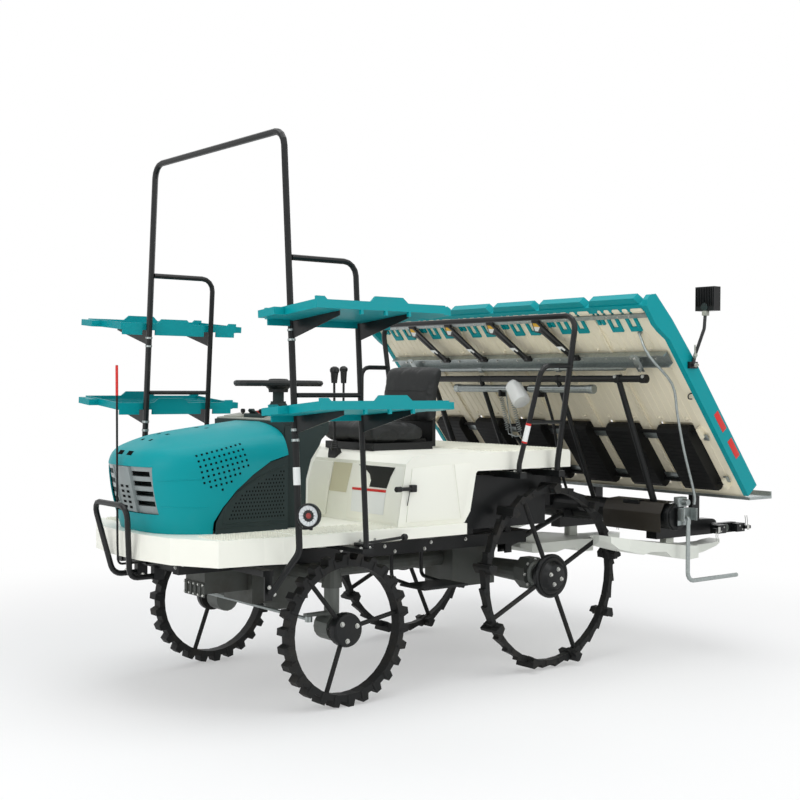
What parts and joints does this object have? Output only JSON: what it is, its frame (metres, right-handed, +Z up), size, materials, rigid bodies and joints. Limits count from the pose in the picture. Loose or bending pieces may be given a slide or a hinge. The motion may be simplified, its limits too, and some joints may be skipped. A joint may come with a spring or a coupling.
{
  "type": "riding rice transplanter",
  "caption": "Riding rice transplanter with lugged narrow wheels, steered front axle, reserve tray racks, and a lifting rear planting part with sloping seedling table.",
  "frame": {"origin": "on the ground, below the middle of the whole machine", "axes": "+X forward, +Y to the left of the driver, +Z up"},
  "size_m": [3.2655, 2.36, 2.45],
  "materials": {
    "teal_plastic": "moulded, slightly glossy",
    "cream_plastic": "moulded, satin",
    "black_paint": "black powder coat",
    "black_rubber": "moulded rubber over steel",
    "black_vinyl": "soft black vinyl",
    "dark_grey_plastic": "textured",
    "silver_grey_plastic": "satin",
    "grey_casting": "painted casting",
    "galvanised_steel": "zinc plated"
  },
  "bodies": {
    "chassis": {"bonnet": "teal_plastic", "bumper_hoop": "black_paint", "chassis_frame": "black_paint", "dash_cover": "dark_grey_plastic", "deck_rail": "black_paint", "engine_block": "grey_casting", "front_apron": "cream_plastic", "front_arch": "black_paint", "front_axle": "grey_casting", "grille": "silver_grey_plastic", "headlamp_left": "black_paint", "headlamp_right": "black_paint", "marker_pole": "black_paint", "rack_left": "black_paint", "rack_right": "black_paint", "rear_axle_case": "grey_casting", "rear_deck": "cream_plastic", "seat_back": "black_vinyl", "seat_base": "black_paint", "seat_cushion": "black_vinyl", "shift_lever": "black_paint", "side_lever": "black_paint", "side_panel_left": "dark_grey_plastic", "side_panel_right": "dark_grey_plastic", "steering_column": "dark_grey_plastic", "step_floor": "cream_plastic", "tray_left_lower": "teal_plastic", "tray_left_upper": "teal_plastic", "tray_right_lower": "teal_plastic", "tray_right_upper": "teal_plastic"},
    "steering_wheel": {"steering_wheel": "black_vinyl"},
    "knuckle_left": {"knuckle_left": "grey_casting"},
    "knuckle_right": {"knuckle_right": "grey_casting"},
    "tie_rod": {"tie_rod": "galvanised_steel"},
    "front_wheel_left": {"front_wheel_left": "black_rubber"},
    "front_wheel_right": {"front_wheel_right": "black_rubber"},
    "rear_wheel_left": {"rear_wheel_left": "black_rubber"},
    "rear_wheel_right": {"rear_wheel_right": "black_rubber"},
    "lower_link": {"lift_lower_link": "black_paint"},
    "upper_link": {"lift_upper_link": "black_paint"},
    "cylinder": {"lift_cylinder": "black_paint"},
    "cylinder_rod": {"lift_rod": "galvanised_steel"},
    "planter": {"planter_frame": "black_paint", "table_guide_rail": "galvanised_steel", "float_left": "cream_plastic", "float_centre": "cream_plastic", "float_right": "cream_plastic"},
    "rotor_left": {"planting_rotor_left": "cream_plastic"},
    "rotor_centre": {"planting_rotor_centre": "cream_plastic"},
    "rotor_right": {"planting_rotor_right": "cream_plastic"},
    "stand_left": {"planter_stand_left": "galvanised_steel"},
    "stand_right": {"planter_stand_right": "galvanised_steel"},
    "table": {"seedling_table": "cream_plastic", "feed_belts": "black_rubber", "table_trim": "teal_plastic", "table_top_bar": "galvanised_steel", "table_slide_beam": "galvanised_steel", "rear_lamp_left": "black_paint", "rear_lamp_right": "black_paint"}
  },
  "joints": [
    {"name": "steer_left", "type": "hinge", "parent": "chassis", "child": "knuckle_left", "pos_m": [0.796, 0.47, 0.329], "axis": [0, 0, 1], "range_deg": [-38, 38]},
    {"name": "steer_right", "type": "hinge", "parent": "chassis", "child": "knuckle_right", "pos_m": [0.796, -0.47, 0.329], "axis": [0, 0, 1], "range_deg": [-38, 38]},
    {"name": "tie_rod_pin", "type": "hinge", "parent": "knuckle_left", "child": "tie_rod", "pos_m": [0.916, 0.47, 0.372], "axis": [0, 0, 1], "range_deg": [-38, 38]},
    {"name": "steering_wheel_turn", "type": "hinge", "parent": "chassis", "child": "steering_wheel", "pos_m": [0.775, 0, 1.388], "axis": [0, 0, 1], "range_deg": [-456, 456]},
    {"name": "front_wheel_left_roll", "type": "hinge", "parent": "knuckle_left", "child": "front_wheel_left", "pos_m": [0.796, 0.57, 0.329], "axis": [0, 1, 0], "continuous": true},
    {"name": "rear_wheel_left_roll", "type": "hinge", "parent": "chassis", "child": "rear_wheel_left", "pos_m": [-0.432, 0.57, 0.455], "axis": [0, 1, 0], "continuous": true},
    {"name": "front_wheel_right_roll", "type": "hinge", "parent": "knuckle_right", "child": "front_wheel_right", "pos_m": [0.796, -0.57, 0.329], "axis": [0, 1, 0], "continuous": true},
    {"name": "rear_wheel_right_roll", "type": "hinge", "parent": "chassis", "child": "rear_wheel_right", "pos_m": [-0.432, -0.57, 0.455], "axis": [0, 1, 0], "continuous": true},
    {"name": "lift", "type": "hinge", "parent": "chassis", "child": "lower_link", "pos_m": [-0.522, 0, 0.545], "axis": [0, -1, 0], "range_deg": [0, 50]},
    {"name": "upper_link_pin", "type": "hinge", "parent": "chassis", "child": "upper_link", "pos_m": [-0.522, 0, 0.815], "axis": [0, -1, 0], "range_deg": [0, 50]},
    {"name": "planter_level", "type": "hinge", "parent": "lower_link", "child": "planter", "pos_m": [-0.9449, 0, 0.6989], "axis": [0, -1, 0], "range_deg": [-50, 0]},
    {"name": "cylinder_swing", "type": "hinge", "parent": "chassis", "child": "cylinder", "pos_m": [-0.527, -0.095, 0.9], "axis": [0, -1, 0], "range_deg": [0, 19.4]},
    {"name": "cylinder_stroke", "type": "slide", "parent": "cylinder", "child": "cylinder_rod", "axis": [-0.6876, 0, -0.7261], "range_m": [0, 0.183]},
    {"name": "table_shuttle", "type": "slide", "parent": "planter", "child": "table", "axis": [0, 1, 0], "range_m": [-0.14, 0.14]},
    {"name": "rotor_centre_turn", "type": "hinge", "parent": "planter", "child": "rotor_centre", "pos_m": [-1.487, 0, 0.645], "axis": [0, 1, 0], "continuous": true},
    {"name": "rotor_left_turn", "type": "hinge", "parent": "planter", "child": "rotor_left", "pos_m": [-1.487, 0.688, 0.645], "axis": [0, 1, 0], "continuous": true},
    {"name": "rotor_right_turn", "type": "hinge", "parent": "planter", "child": "rotor_right", "pos_m": [-1.487, -0.688, 0.645], "axis": [0, 1, 0], "continuous": true},
    {"name": "planter_stand_left_fold", "type": "hinge", "parent": "planter", "child": "stand_left", "pos_m": [-1.072, 0.9, 0.73], "axis": [0, 1, 0], "range_deg": [0, 50]},
    {"name": "planter_stand_right_fold", "type": "hinge", "parent": "planter", "child": "stand_right", "pos_m": [-1.072, -0.9, 0.73], "axis": [0, 1, 0], "range_deg": [0, 50]}
  ],
  "couplings": [
    {"joint": "steer_right", "follows": "steer_left", "ratio": 1},
    {"joint": "tie_rod_pin", "follows": "steer_left", "ratio": -1},
    {"joint": "steering_wheel_turn", "follows": "steer_left", "ratio": 12},
    {"joint": "upper_link_pin", "follows": "lift", "ratio": 1},
    {"joint": "planter_level", "follows": "lift", "ratio": -1},
    {"joint": "cylinder_swing", "follows": "lift", "ratio": 0.3681},
    {"joint": "cylinder_stroke", "follows": "lift", "m_per_rad": 0.2052},
    {"joint": "rotor_left_turn", "follows": "rotor_centre_turn", "ratio": 1},
    {"joint": "rotor_right_turn", "follows": "rotor_centre_turn", "ratio": 1}
  ]
}
